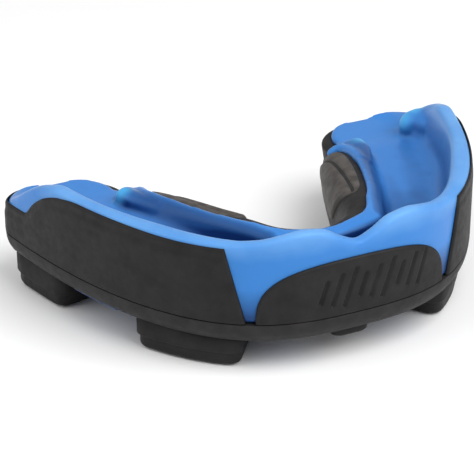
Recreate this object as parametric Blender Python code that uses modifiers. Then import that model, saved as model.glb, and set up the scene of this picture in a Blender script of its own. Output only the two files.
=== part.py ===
"""A two-material sports mouthguard for the upper teeth.

A gel trough sits in a rubber shell: a horseshoe sole with an upstand on the tongue side, a plate over each cheek,
a plate over the front teeth, grooved inserts on the tongue side, biting pads underneath and gel inlays in the
windows of the sole.

Lengths are in millimetres. Shapes are worked out with height 0 at the crease between the sole and the plates,
Y = 0 at the front of the arch and +Y running back to the molars. An empty then lifts the whole guard, so that it
stands on Z = 0 with its box centred on X = 0 and Y = 0.

Along the arm a place is a fraction: 0 is the front centre and 1 is where the molar corner begins. Across the arm
a depth is the distance in from the outermost line of the arch.
"""

import math

import bmesh
import bpy

MM = 0.001

# The arch: the outermost line of the guard, at the crease.
ARCH_HALF_WIDTH = 35.7
ARCH_DEPTH = 67.0
ARCH_SQUARENESS = 0.73
ARCH_TURN = math.radians(65.8)
MOLAR_CORNER = 6.0

# Clearances and skins.
GAP = 0.3
GEL_INSET = 0.45
PLATE_SKIN = 1.2

# Heights at the crease and the sole, and the plane of the surface that the guard stands on.
GEL_BOTTOM = 0.15
CREASE_TOP = -0.15
SOLE_BOTTOM = -3.1
INLAY_BOTTOM = -3.5
TABLE_HEIGHT = -7.0
TABLE_SLOPE = 0.0423

# The tongue side of the arch in plan, as (place, value).
TONGUE_X = [(0.0, 0.0), (0.13, 3.2), (0.2, 4.6), (0.3, 5.8), (0.4, 6.6), (0.53, 7.8), (0.65, 9.4), (0.76, 11.2),
            (0.88, 14.0), (1.0, 16.6)]
TONGUE_Y = [(0.0, 11.8), (0.13, 13.4), (0.2, 15.2), (0.3, 17.8), (0.4, 20.2), (0.53, 23.6), (0.65, 27.7),
            (0.76, 31.9), (0.88, 36.3), (1.0, 39.4)]
TONGUE_START_SLOPE = 26.0

# The gel trough: the outer wall, the biting floor and the inner lip, as (place, value).
RIM_HEIGHT = [(0.0, 10.0), (0.04, 10.8), (0.09, 12.3), (0.14, 12.6), (0.19, 12.1), (0.24, 11.5), (0.3, 11.2),
              (0.8, 11.2), (0.86, 10.4), (0.9, 9.5), (0.945, 8.2), (0.99, 6.4), (1.03, 5.2), (1.1, 4.9)]
RIM_THICKNESS = [(0.0, 1.8), (0.13, 1.8), (0.28, 2.0), (0.5, 2.6), (0.7, 2.2), (0.85, 2.3), (0.95, 3.0), (1.1, 3.0)]
RIM_SOFTNESS = [(0.0, 0.7), (0.84, 0.8), (0.95, 2.2), (1.1, 2.2)]
WALL_FOOT = [(0.0, 0.6), (0.7, 0.5), (0.86, 0.9), (0.93, 2.0), (0.98, 2.6), (1.1, 1.5)]
FLOOR_HEIGHT = [(0.0, 3.4), (0.3, 3.8), (0.6, 4.2), (1.1, 4.1)]
LIP_DEPTH = [(0.0, 6.9), (0.155, 7.5), (0.33, 11.6), (0.543, 13.9), (0.67, 14.6), (0.76, 15.0), (0.87, 14.8),
             (1.0, 13.4)]
LIP_HEIGHT = [(0.0, 8.3), (0.16, 8.6), (0.33, 8.4), (0.54, 7.8), (0.67, 7.3), (0.76, 6.8), (0.83, 6.1), (0.88, 5.3),
              (0.94, 4.7), (1.1, 4.3)]
LIP_THICKNESS = [(0.0, 2.2), (0.19, 2.7), (0.4, 1.7), (0.6, 1.5), (0.85, 1.6), (1.1, 1.6)]
LIP_BEAD = 1.4
LIP_STEP = 0.4
LIP_FOOT = 0.6

# The rubber shell below and behind the trough.
SOLE_DRAFT = 1.1
END_DRAFT = 0.3
GROOVE_HEIGHT = 3.4
GROOVE_SHARE = 0.3
BULGE_HEIGHT = 0.8
PALATE_SPAN = (0.42, 0.93)
PALATE_TOP = 0.12
PALATE_FOOT = 0.93
PALATE_PROUD = 0.4
PALATE_SUNK = 0.3

# The rubber plates.
CHEEK_FRONT_LOW = 0.268
CHEEK_FRONT_HIGH = 0.318
CHEEK_END = 1.12
CHEEK_TOP = [(0.2, 10.6), (0.4, 10.6), (0.6, 10.8), (0.714, 10.8), (0.788, 10.2), (0.841, 9.1), (0.889, 7.2),
             (0.937, 4.9), (1.0, 4.5), (1.07, 3.4), (1.2, 3.2)]
FRONT_HALF_LENGTH = 13.8
FRONT_TOP = 8.05
FRONT_ROUNDNESS = 3.0
FRONT_TIP = 0.5

# The biting pads and inlays: (first place, last place, first depth, last depth).
MOLAR_PAD = (0.83, 1.045, 1.9, 13.5)
CANINE_PAD = (0.285, 0.565, 1.6, 12.0)
FRONT_PAD = (-0.055, 0.055, 1.9, 8.0)
FRONT_PAD_BOTTOM = -4.5
MOLAR_INLAY = (0.6, 0.795, 1.6, 12.5)
FRONT_INLAY = (0.12, 0.25, 2.9, 7.6)

BLUE_GEL = (0.055, 0.22, 0.72, 1.0)
BLACK_RUBBER = (0.030, 0.028, 0.029, 1.0)
GREY_RUBBER = (0.075, 0.068, 0.064, 1.0)

STATIONS = [0.0, 0.03, 0.06, 0.09, 0.13, 0.17, 0.21, 0.25, 0.30, 0.35, 0.41, 0.47, 0.53, 0.59, 0.65, 0.71, 0.77,
            0.82, 0.86, 0.90, 0.94, 0.97, 1.0]
CORNER_TURNS = [0.25, 0.5, 0.7, 0.85, 0.94, 1.0]


def profile(pairs, place, start_slope=0.0):
    """A smooth curve through hand-set (place, value) pairs that never overshoots them."""
    count = len(pairs)
    if place <= pairs[0][0]:
        return pairs[0][1]
    if place >= pairs[-1][0]:
        return pairs[-1][1]
    slopes = [(pairs[i + 1][1] - pairs[i][1]) / (pairs[i + 1][0] - pairs[i][0]) for i in range(count - 1)]
    tangents = [start_slope]
    for i in range(1, count - 1):
        product = slopes[i - 1] * slopes[i]
        tangents.append(2 * product / (slopes[i - 1] + slopes[i]) if product > 0 else 0.0)
    tangents.append(slopes[-1])
    i = max(k for k in range(count - 1) if pairs[k][0] <= place)
    width = pairs[i + 1][0] - pairs[i][0]
    t = (place - pairs[i][0]) / width
    return ((1 + 2 * t) * (1 - t) ** 2 * pairs[i][1] + t * (1 - t) ** 2 * width * tangents[i]
            + t * t * (3 - 2 * t) * pairs[i + 1][1] + t * t * (t - 1) * width * tangents[i + 1])


def arch_at(angle):
    x = ARCH_HALF_WIDTH * math.sin(angle) ** ARCH_SQUARENESS
    return x, ARCH_DEPTH * (1 - math.cos(angle))


def arch_table(steps=600):
    """(length along the arch, X, Y) at small equal turns, for looking places up by length."""
    rows = [(0.0, 0.0, 0.0)]
    for i in range(1, steps + 1):
        x, y = arch_at(ARCH_TURN * i / steps)
        rows.append((rows[-1][0] + math.hypot(x - rows[-1][1], y - rows[-1][2]), x, y))
    return rows


ARCH = arch_table()
ARM_LENGTH = ARCH[-1][0]
END_PLACE = 1 + MOLAR_CORNER / ARM_LENGTH


def outer_point(place):
    """The outermost line of the arch on the +X side. Past place 1 it runs straight back."""
    if place >= 1:
        return ARCH[-1][1], ARCH[-1][2] + (place - 1) * ARM_LENGTH
    length = place * ARM_LENGTH
    low = 0
    high = len(ARCH) - 1
    while high - low > 1:
        middle = (low + high) // 2
        if ARCH[middle][0] <= length:
            low = middle
        else:
            high = middle
    share = (length - ARCH[low][0]) / (ARCH[high][0] - ARCH[low][0])
    return tuple(ARCH[low][k] + share * (ARCH[high][k] - ARCH[low][k]) for k in (1, 2))


def crossing(place):
    """(outer point, unit direction inwards, width) of the slice across the arm at a place."""
    at = min(abs(place), 1.0)
    ox, oy = outer_point(at)
    ix = profile(TONGUE_X, at, TONGUE_START_SLOPE)
    iy = profile(TONGUE_Y, at)
    width = math.hypot(ix - ox, iy - oy)
    direction = ((ix - ox) / width, (iy - oy) / width)
    if abs(place) > 1:
        ox, oy = outer_point(abs(place))
    side = -1.0 if place < 0 else 1.0
    return (side * ox, oy), (side * direction[0], direction[1]), width


def plan_point(place, depth):
    (ox, oy), (dx, dy), _ = crossing(place)
    return ox + depth * dx, oy + depth * dy


def wrap_point(place, depth):
    """As plan_point, but past place 1 the line turns round the molar corner instead of running straight back."""
    if abs(place) <= 1:
        return plan_point(place, depth)
    side = -1.0 if place < 0 else 1.0
    turn = (abs(place) - 1) * ARM_LENGTH / MOLAR_CORNER
    (ox, oy), (dx, dy), _ = crossing(1.0)
    radius = MOLAR_CORNER - depth
    x = ox + MOLAR_CORNER * dx - radius * math.cos(turn) * dx - radius * math.sin(turn) * dy
    y = oy + MOLAR_CORNER * dy - radius * math.cos(turn) * dy - radius * math.sin(turn) * dx
    return side * x, y


def corner_inset(place, skin=0.0):
    """How far both sides of a slice are drawn in where the arm's end is rounded."""
    radius = MOLAR_CORNER - skin
    past = (place - 1) * ARM_LENGTH
    if past <= 0:
        return skin
    return MOLAR_CORNER - math.sqrt(max(radius ** 2 - past ** 2, 0.0))


def rounded(points, steps):
    """The outline of (depth, height, radius) corners, each turned into an arc of the same number of points."""
    outline = []
    count = len(points)
    for i, (x, y, radius) in enumerate(points):
        if radius == 0:
            outline.append((x, y))
            continue
        ax, ay = points[i - 1][0] - x, points[i - 1][1] - y
        bx, by = points[(i + 1) % count][0] - x, points[(i + 1) % count][1] - y
        al, bl = math.hypot(ax, ay), math.hypot(bx, by)
        reach = min(radius, 0.45 * al, 0.45 * bl)
        sx, sy = x + ax / al * reach, y + ay / al * reach
        ex, ey = x + bx / bl * reach, y + by / bl * reach
        for k in range(steps + 1):
            t = k / steps
            outline.append(((1 - t) ** 2 * sx + 2 * t * (1 - t) * x + t * t * ex,
                            (1 - t) ** 2 * sy + 2 * t * (1 - t) * y + t * t * ey))
    return outline


def new_object(name, verts, faces, collection, material=None):
    mesh = bpy.data.meshes.new(name)
    bm = bmesh.new()
    made = [bm.verts.new((x * MM, y * MM, z * MM)) for x, y, z in verts]
    for face in faces:
        bm.faces.new([made[i] for i in face])
    bm.normal_update()
    bm.to_mesh(mesh)
    bm.free()
    obj = bpy.data.objects.new(name, mesh)
    collection.objects.link(obj)
    mesh.shade_smooth()
    mesh.set_sharp_from_angle(angle=math.radians(40))
    if material:
        mesh.materials.append(material)
    return obj


def loft(slices, cap_start, cap_end):
    """Vertices and outward faces of closed outlines joined one to the next, each listed clockwise from behind."""
    size = len(slices[0])
    verts = [point for outline in slices for point in outline]
    faces = []
    for row in range(len(slices) - 1):
        for i in range(size):
            j = (i + 1) % size
            faces.append((row * size + i, (row + 1) * size + i, (row + 1) * size + j, row * size + j))
    if cap_start:
        faces.append(tuple(range(size)))
    if cap_end:
        last = (len(slices) - 1) * size
        faces.append(tuple(reversed(range(last, last + size))))
    return verts, faces


def arm_places(skin):
    """Every place where the long lofts get a slice. The last ones follow the molar corner's roundness."""
    places = list(STATIONS)
    reach = (MOLAR_CORNER - skin) / ARM_LENGTH
    places += [1 + reach * math.sin(turn * math.pi / 2) for turn in CORNER_TURNS]
    return places


def slice_points(place, outline, skin=0.0):
    """Put a (depth, height) outline on the slice at a place, drawn in where the molar corner is rounded."""
    _, _, width = crossing(place)
    inset = corner_inset(place, skin)
    depths = []
    for depth, height in outline:
        across = inset + (depth - skin) * (width - 2 * inset) / (width - 2 * skin)
        depths.append((across, height))
    points = []
    past = max(place - 1, 0.0) / (END_PLACE - 1)
    for across, height in depths:
        x, y = plan_point(place, across)
        points.append((x, y - END_DRAFT * past * max(-height, 0.0), height))
    return points


def arch_object(name, outline_at, skin, collection, material):
    """A node that runs round the whole arch: one lofted half, mirrored across X = 0."""
    slices = [slice_points(place, outline_at(place), skin) for place in arm_places(skin)]
    verts, faces = loft(slices, cap_start=False, cap_end=True)
    obj = new_object(name, verts, faces, collection, material)
    mirror = obj.modifiers.new("mirror", "MIRROR")
    mirror.merge_threshold = 0.00001
    return obj


def gel_outline(place):
    rim = profile(RIM_HEIGHT, place)
    thick = profile(RIM_THICKNESS, place)
    soft = profile(RIM_SOFTNESS, place)
    bead = profile(LIP_THICKNESS, place)
    foot = profile(WALL_FOOT, place)
    floor = profile(FLOOR_HEIGHT, place)
    lip = profile(LIP_DEPTH, place)
    top = profile(LIP_HEIGHT, place)
    outer = GEL_INSET
    return rounded([
        (outer, GEL_BOTTOM, 0),
        (outer, rim - 0.1, soft),
        (outer + thick, rim, soft),
        (outer + thick + foot, floor, 1.6),
        (lip - LIP_FOOT, floor, 1.4),
        (lip, top, 0.6),
        (lip + bead, top - 0.3, 0.6),
        (lip + bead, top - LIP_BEAD, 0),
        (lip + LIP_STEP, top - LIP_BEAD - 0.2, 0),
        (lip + LIP_STEP, GEL_BOTTOM, 0),
    ], 2)


def upstand_top(place):
    return profile(LIP_HEIGHT, place) - LIP_BEAD - 0.2 - GAP


def flank_line(place):
    """(depth, height) of the tongue side of the upstand: its top, the groove and the bulge."""
    _, _, width = crossing(place)
    start = profile(LIP_DEPTH, place) + profile(LIP_THICKNESS, place) + 0.1
    top = upstand_top(place)
    groove = max(min(GROOVE_HEIGHT, top - 1.2), BULGE_HEIGHT + 0.4)
    return [(start, top), (start + (width - start) * GROOVE_SHARE, groove), (width, BULGE_HEIGHT)]


def sole_outline(place):
    lip = profile(LIP_DEPTH, place)
    head, groove, bulge = flank_line(place)
    return rounded([
        (0.0, CREASE_TOP, 0),
        (lip + LIP_STEP + GAP, CREASE_TOP, 0),
        (lip + LIP_STEP + GAP, head[1], 0),
        (head[0], head[1], 0.3),
        (groove[0], groove[1], 0),
        (bulge[0], bulge[1], 0.8),
        (bulge[0] - 1.0, SOLE_BOTTOM, 0.8),
        (SOLE_DRAFT, SOLE_BOTTOM, 0.8),
        (0.2, -1.4, 0),
    ], 2)


def slab(name, columns, rows, point_at, collection, material=None):
    """A closed slab: point_at(i, j, layer) gives its points, layer 0 being the outer face and 1 the inner one."""
    verts = [point_at(i, j, layer) for layer in (0, 1) for i in range(columns) for j in range(rows)]
    other = columns * rows
    faces = []
    for i in range(columns - 1):
        for j in range(rows - 1):
            quad = (i * rows + j, (i + 1) * rows + j, (i + 1) * rows + j + 1, i * rows + j + 1)
            faces.append(quad)
            faces.append(tuple(other + k for k in reversed(quad)))
    border = [i * rows for i in range(columns)]
    border += [(columns - 1) * rows + j for j in range(1, rows)]
    border += [i * rows + rows - 1 for i in range(columns - 2, -1, -1)]
    border += [j for j in range(rows - 2, 0, -1)]
    for k, here in enumerate(border):
        there = border[(k + 1) % len(border)]
        faces.append((there, here, other + here, other + there))
    obj = new_object(name, verts, faces, collection, material)
    face_outwards(obj)
    return obj


def face_outwards(obj):
    bm = bmesh.new()
    bm.from_mesh(obj.data)
    bmesh.ops.recalc_face_normals(bm, faces=bm.faces)
    bm.to_mesh(obj.data)
    bm.free()


def wall_plate(name, ends_at, top_at, bottom, skin, spread, collection, material=None):
    """A plate on the outer wall. ends_at(height) gives its two ends; spread widens it all round for a cutter."""
    columns, rows = 17, 5
    first_depth = -1.0 if spread else 0.0
    low = bottom - spread

    def point(i, j, layer):
        share = i / (columns - 1)
        middle_height = low + (top_at(0.5) - low) * j / (rows - 1)
        begin, finish = ends_at(middle_height)
        begin -= spread / ARM_LENGTH
        finish += spread / ARM_LENGTH
        place = begin + (finish - begin) * share
        height = low + (top_at(place) + spread - low) * j / (rows - 1)
        edge = i in (0, columns - 1) or j in (0, rows - 1)
        depth = skin + spread if layer else first_depth + (0.25 if edge and not spread else 0.0)
        x, y = wrap_point(place, depth)
        return x, y, height

    return slab(name, columns, rows, point, collection, material)


def cheek_plate(name, side, spread, collection, material=None):
    def ends_at(height):
        share = (height - GEL_BOTTOM) / (CHEEK_TOP[0][1] - GEL_BOTTOM)
        return CHEEK_FRONT_LOW + (CHEEK_FRONT_HIGH - CHEEK_FRONT_LOW) * share, CHEEK_END

    obj = wall_plate(name, ends_at, lambda place: profile(CHEEK_TOP, place), GEL_BOTTOM, PLATE_SKIN, spread,
                     collection, material)
    if side < 0:
        mirror_x(obj)
    return obj


def mirror_x(obj):
    for vert in obj.data.vertices:
        vert.co.x = -vert.co.x
    obj.data.flip_normals()


def front_plate(name, spread, collection, material=None):
    half = FRONT_HALF_LENGTH / ARM_LENGTH

    def top_at(place):
        share = min(abs(place) / half, 1.0)
        dome = (1 - share ** FRONT_ROUNDNESS) ** (1 / FRONT_ROUNDNESS)
        return GEL_BOTTOM + max((FRONT_TOP - GEL_BOTTOM) * dome, FRONT_TIP)

    return wall_plate(name, lambda height: (-half, half), top_at, GEL_BOTTOM, PLATE_SKIN, spread, collection,
                      material)


def flank_point(place, down, out):
    """A point on the tongue side of the upstand: down runs 0 to 1 from its top to its bulge, out is off the face."""
    line = flank_line(place)
    spans = [math.dist(line[0], line[1]), math.dist(line[1], line[2])]
    reach = down * sum(spans)
    k = 0 if reach <= spans[0] else 1
    share = (reach - k * spans[0]) / spans[k]
    (ax, az), (bx, bz) = line[k], line[k + 1]
    length = math.dist(line[0], line[2])
    nx, nz = (line[0][1] - line[2][1]) / length, (line[2][0] - line[0][0]) / length
    depth = ax + (bx - ax) * share + out * nx
    x, y = plan_point(place, depth)
    return x, y, az + (bz - az) * share + out * nz


def palate_plate(name, side, spread, collection, material=None):
    columns, rows = 13, 5
    first, last = PALATE_SPAN

    def point(i, j, layer):
        begin = first - spread / ARM_LENGTH
        place = begin + (last - first + 2 * spread / ARM_LENGTH) * i / (columns - 1)
        grow = spread / 6.0
        down = PALATE_TOP - grow + (PALATE_FOOT - PALATE_TOP + 2 * grow) * j / (rows - 1)
        out = PALATE_PROUD + (1.0 if spread else 0.0) if layer == 0 else -PALATE_SUNK - spread
        return flank_point(place, down, out)

    obj = slab(name, columns, rows, point, collection, material)
    if side < 0:
        mirror_x(obj)
    return obj


def footprint(span, spread, corner, side_steps):
    """The outline of a pad in (place, depth): a rectangle along the arm with round corners."""
    first, last, near, far = span
    first_mm, last_mm = first * ARM_LENGTH - spread, last * ARM_LENGTH + spread
    near, far = near - spread, far + spread
    corners = [(first_mm, near), (last_mm, near), (last_mm, far), (first_mm, far)]
    outline = []
    for k, (x, y) in enumerate(corners):
        px, py = corners[k - 1]
        qx, qy = corners[(k + 1) % 4]
        sx, sy = x + math.copysign(corner, px - x) * (px != x), y + math.copysign(corner, py - y) * (py != y)
        ex, ey = x + math.copysign(corner, qx - x) * (qx != x), y + math.copysign(corner, qy - y) * (qy != y)
        for step in range(4):
            t = step / 3
            outline.append(((1 - t) ** 2 * sx + 2 * t * (1 - t) * x + t * t * ex,
                            (1 - t) ** 2 * sy + 2 * t * (1 - t) * y + t * t * ey))
        nx, ny = qx + math.copysign(corner, x - qx) * (qx != x), qy + math.copysign(corner, y - qy) * (qy != y)
        steps = side_steps if k in (0, 2) else 1
        for step in range(1, steps):
            outline.append((ex + (nx - ex) * step / steps, ey + (ny - ey) * step / steps))
    return outline


def table_height(y):
    return TABLE_HEIGHT - TABLE_SLOPE * y


def pad(name, span, levels, side, collection, material=None, corner=1.8, on_table=False):
    """A block under the sole. levels is a list of (height, spread) from its top down.

    With on_table the heights below the first are counted from the surface that the guard stands on.
    """
    side_steps = 6
    rings = []
    for level, (height, spread) in enumerate(levels):
        ring = []
        for along, depth in footprint(span, spread, corner, side_steps):
            x, y = plan_point(along / ARM_LENGTH, depth)
            lift = table_height(y) if on_table and level > 0 else 0.0
            ring.append((x, y, height + lift))
        rings.append(ring)
    verts, faces = loft(rings, cap_start=True, cap_end=True)
    obj = new_object(name, verts, faces, collection, material)
    face_outwards(obj)
    if side < 0:
        mirror_x(obj)
    return obj


def cut(obj, cutter):
    boolean = obj.modifiers.new("cut_" + cutter.name, "BOOLEAN")
    boolean.operation = "DIFFERENCE"
    boolean.solver = "EXACT"
    boolean.object = cutter
    cutter.hide_render = True
    cutter.display_type = "WIRE"


def make_material(name, colour, roughness):
    material = bpy.data.materials.new(name)
    material.use_nodes = True
    shader = material.node_tree.nodes["Principled BSDF"]
    shader.inputs["Base Color"].default_value = colour
    shader.inputs["Roughness"].default_value = roughness
    shader.inputs["Metallic"].default_value = 0.0
    material.diffuse_color = colour
    return material


def clear_scene():
    for obj in list(bpy.data.objects):
        bpy.data.objects.remove(obj)


def build():
    clear_scene()
    parts = bpy.data.collections.new("mouthguard")
    cutters = bpy.data.collections.new("cutters")
    bpy.context.scene.collection.children.link(parts)
    bpy.context.scene.collection.children.link(cutters)
    gel_blue = make_material("gel_blue", BLUE_GEL, 0.25)
    rubber_black = make_material("rubber_black", BLACK_RUBBER, 0.55)
    rubber_grey = make_material("rubber_grey", GREY_RUBBER, 0.6)

    gel = arch_object("gel_liner", gel_outline, GEL_INSET, parts, gel_blue)
    sole = arch_object("sole_frame", sole_outline, 0.0, parts, rubber_black)
    front_plate("front_plate", 0.0, parts, rubber_black)
    cut(gel, front_plate("front_pocket", GAP, cutters))
    pad_levels = [(SOLE_BOTTOM - GAP, 0.3), (2.0, 0.2), (1.8, -0.1), (0.8, -0.2), (0.0, -0.9)]
    front_levels = [(SOLE_BOTTOM - GAP, 0.0), (FRONT_PAD_BOTTOM + 0.4, 0.0), (FRONT_PAD_BOTTOM, -0.4)]
    inlay_levels = [(CREASE_TOP, 0.0), (INLAY_BOTTOM + 0.3, 0.0), (INLAY_BOTTOM, -0.3)]
    window_levels = [(GEL_BOTTOM + 0.5, GAP), (SOLE_BOTTOM - 1.0, GAP)]
    for label, side in (("left", -1), ("right", 1)):
        cheek_plate("cheek_plate_" + label, side, 0.0, parts, rubber_black)
        cut(gel, cheek_plate("cheek_pocket_" + label, side, GAP, cutters))
        palate_plate("palate_plate_" + label, side, 0.0, parts, rubber_grey)
        cut(sole, palate_plate("palate_pocket_" + label, side, GAP, cutters))
        pad("molar_pad_" + label, MOLAR_PAD, pad_levels, side, parts, rubber_black, on_table=True)
        pad("canine_pad_" + label, CANINE_PAD, pad_levels, side, parts, rubber_black, on_table=True)
        for place_name, span in (("molar", MOLAR_INLAY), ("front", FRONT_INLAY)):
            pad("gel_inlay_" + place_name + "_" + label, span, inlay_levels, side, parts, gel_blue)
            cut(sole, pad("window_" + place_name + "_" + label, span, window_levels, side, cutters))
    pad("front_pad", FRONT_PAD, front_levels, 1, parts, rubber_black)
    stand_up(parts, cutters)


def stand_up(parts, cutters):
    """Parent everything to an empty that lays the guard level on its pads, centred on the origin."""
    stand = bpy.data.objects.new("mouthguard_stand", None)
    tilt = math.atan(TABLE_SLOPE)
    turned = [vert.co.y * math.cos(tilt) - vert.co.z * math.sin(tilt)
              for obj in parts.objects for vert in obj.data.vertices]
    stand.rotation_euler = (tilt, 0.0, 0.0)
    stand.location = (0.0, -(min(turned) + max(turned)) / 2, -TABLE_HEIGHT * MM * math.cos(tilt))
    for obj in list(parts.objects) + list(cutters.objects):
        obj.parent = stand
    parts.objects.link(stand)


build()
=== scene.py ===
"""The finished look of the two-material mouthguard: a soft blue gel trough in a black rubber shell.

Shapes are worked out in millimetres in the guard's own lie, with height 0 at the crease between the sole
and the plates, Y = 0 at the front of the arch and +Y running back to the molars. STAND then tips and lifts
them to where the frame stands on its pads.

Along the arm a place is a fraction: 0 is the front centre and 1 is where the molar corner begins. Across
the arm a depth is the distance in from the outermost line of the arch.
"""

import math

import bmesh
import bpy
import numpy as np
from mathutils import Matrix, Vector
from mathutils.bvhtree import BVHTree


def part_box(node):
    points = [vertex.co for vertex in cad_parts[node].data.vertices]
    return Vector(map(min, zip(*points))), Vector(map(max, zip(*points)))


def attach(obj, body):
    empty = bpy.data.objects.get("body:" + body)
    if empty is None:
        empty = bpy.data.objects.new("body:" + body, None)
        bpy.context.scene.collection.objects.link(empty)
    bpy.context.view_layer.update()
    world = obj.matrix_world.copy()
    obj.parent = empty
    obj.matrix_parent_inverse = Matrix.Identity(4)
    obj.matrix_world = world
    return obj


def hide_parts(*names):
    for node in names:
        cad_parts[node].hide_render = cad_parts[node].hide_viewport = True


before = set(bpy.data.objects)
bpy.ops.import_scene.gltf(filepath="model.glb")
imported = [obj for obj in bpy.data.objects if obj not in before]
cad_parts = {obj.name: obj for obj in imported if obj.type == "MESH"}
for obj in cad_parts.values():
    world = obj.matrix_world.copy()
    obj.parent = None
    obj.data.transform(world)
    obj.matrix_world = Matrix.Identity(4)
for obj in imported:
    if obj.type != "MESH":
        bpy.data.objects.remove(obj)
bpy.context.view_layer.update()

MM = 0.001
SIDES = (("left", -1), ("right", 1))

# The arch and the lie of the guard, as in the frame.
ARCH_HALF_WIDTH = 35.7
ARCH_DEPTH = 67.0
ARCH_SQUARENESS = 0.73
ARCH_TURN = math.radians(65.8)
MOLAR_CORNER = 6.0
TABLE_HEIGHT = -7.0
TABLE_SLOPE = 0.0423
CREST_HEIGHT = 6.1
TILT = math.atan(TABLE_SLOPE)

# The tongue side of the arch in plan, as (place, value).
TONGUE_X = [(0.0, 0.0), (0.13, 3.2), (0.2, 4.6), (0.3, 5.8), (0.4, 6.6), (0.53, 7.8), (0.65, 9.4),
            (0.76, 11.2), (0.88, 13.6), (1.0, 15.9)]
TONGUE_Y = [(0.0, 11.8), (0.13, 13.4), (0.2, 15.2), (0.3, 17.8), (0.4, 20.2), (0.53, 23.6), (0.65, 27.7),
            (0.76, 31.9), (0.88, 36.3), (1.0, 39.4)]
TONGUE_START_SLOPE = 26.0

# The gel trough, as (place, value).
GEL_BOTTOM = 0.1
GEL_INSET = 0.45
GEL_CORNER_STEPS = 6
RIM_HEIGHT = [(0.0, 10.0), (0.04, 10.8), (0.09, 12.3), (0.14, 12.6), (0.19, 12.1), (0.24, 11.5),
              (0.3, 11.2), (0.8, 11.2), (0.86, 10.3), (0.9, 9.3), (0.945, 7.8), (0.99, 6.0), (1.03, 4.8),
              (1.1, 4.0)]
RIM_LEAN = 0.1
RIM_THICKNESS = [(0.0, 1.8), (0.13, 1.8), (0.28, 2.0), (0.5, 2.6), (0.7, 2.2), (0.85, 2.3), (0.95, 3.0),
                 (1.1, 3.0)]
RIM_SOFTNESS = [(0.0, 0.8), (0.84, 1.0), (0.95, 2.2), (1.1, 2.2)]
WALL_FOOT = [(0.0, 0.9), (0.7, 1.2), (0.86, 1.4), (0.93, 2.0), (0.98, 2.4), (1.1, 1.5)]
FLOOR_HEIGHT = [(0.0, 3.4), (0.3, 3.8), (0.6, 4.1), (0.85, 4.1), (0.96, 3.75), (1.1, 3.5)]
WALL_FOOT_RADIUS = 2.2
LIP_FOOT_RADIUS = 1.8
LIP_DEPTH = [(0.0, 6.9), (0.155, 7.5), (0.33, 11.3), (0.47, 12.8), (0.6, 13.6), (0.7, 13.9), (0.78, 14.0),
             (0.84, 14.4), (0.9, 14.9), (1.0, 14.0)]
LIP_HEIGHT = [(0.0, 8.3), (0.16, 8.6), (0.33, 8.4), (0.54, 7.7), (0.67, 7.2), (0.74, 6.8), (0.8, 6.3),
              (0.84, 5.8), (0.865, 5.0), (0.89, 4.2), (0.96, 3.8), (1.1, 3.55)]
LIP_THICKNESS = [(0.0, 2.2), (0.19, 2.7), (0.4, 1.8), (0.6, 1.6), (0.85, 1.7), (1.1, 1.9)]
LIP_FOOT = [(0.0, 0.7), (0.4, 1.0), (0.6, 1.5), (0.7, 1.9), (0.8, 2.2), (0.88, 1.8), (1.1, 2.0)]
LIP_TROUGH_RADIUS = 0.8
LIP_EDGE_RADIUS = 0.6
LIP_BEAD = 1.05
LIP_STEP = 0.4
LIP_STEP_SLOPE = 0.3

# How much lower the lip is on its trough side, and the largest share of its height above the floor.
LIP_SLOPE = 0.55
LIP_SLOPE_SHARE = 0.3

# Soft bars that thicken the gel at the molar end, as (place, depth, height, radius) along the arm: the
# lip's blunt thumb, and the lip's edge as it turns down behind the insert.
LIP_THUMB = [(0.7, 14.1, 5.2, 1.3), (0.76, 13.9, 5.1, 1.4), (0.81, 13.7, 4.95, 1.5),
             (0.85, 13.9, 4.75, 1.55), (0.865, 14.9, 4.3, 1.4)]
LIP_TURN = [(0.7, 14.75, 6.2, 0.85), (0.75, 15.0, 5.95, 0.85), (0.79, 15.3, 5.55, 0.85),
            (0.825, 15.7, 5.15, 0.85), (0.85, 16.2, 4.8, 0.85), (0.862, 16.8, 4.45, 0.85),
            (0.865, 17.4, 4.0, 0.8)]

# The same as (X, Y, height, radius): the thumb that the outer wall turns in to, and its root.
WALL_THUMB = [(29.5, 32.8, 6.3, 2.0), (29.5, 34.4, 6.2, 2.1), (29.2, 35.6, 5.8, 2.3),
              (28.7, 36.2, 5.3, 2.3)]
WALL_THUMB_FOOT = [(29.2, 31.5, 4.5, 1.9), (29.2, 34.0, 4.5, 2.1), (28.9, 35.6, 4.3, 2.0)]

# How finely the gel is skinned over, and how often it is softened.
GEL_VOXEL = 0.27
GEL_SMOOTHING = 10

# The rays that find the gel's recesses for its painted shade: how many there are for each point, how far
# off the surface they start, how far they look and how steeply they must leave it. Then the share of its
# neighbours that each point takes on, and how often.
RECESS_RAYS = 44
RECESS_START = 0.05
RECESS_REACH = 22.0
RECESS_FACING = 0.1
RECESS_BLEND = 0.6
RECESS_BLENDS = 8

# Where light is painted into the gel, as if it shone through its thin ends, as (X, Y, height), and how
# dark the painted shade gets over the lip's rubber core, which is partly the black rubber showing through.
PAINTED_LIGHT_SPOTS = [(27.2, 36.6, 6.4), (29.0, 36.6, 7.8), (18.9, 34.0, 5.9)]
PAINTED_LIGHT_REACH = 1.6
LIP_SHADE = 0.52
LIP_SHADE_REACH = 2.2
LIP_SHADE_SPAN = (0.24, 0.87)
LIP_SHADE_SPOTS = 127
LIP_SHADE_DEPTH = 0.2
LIP_SHADE_DROP = 1.3

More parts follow.
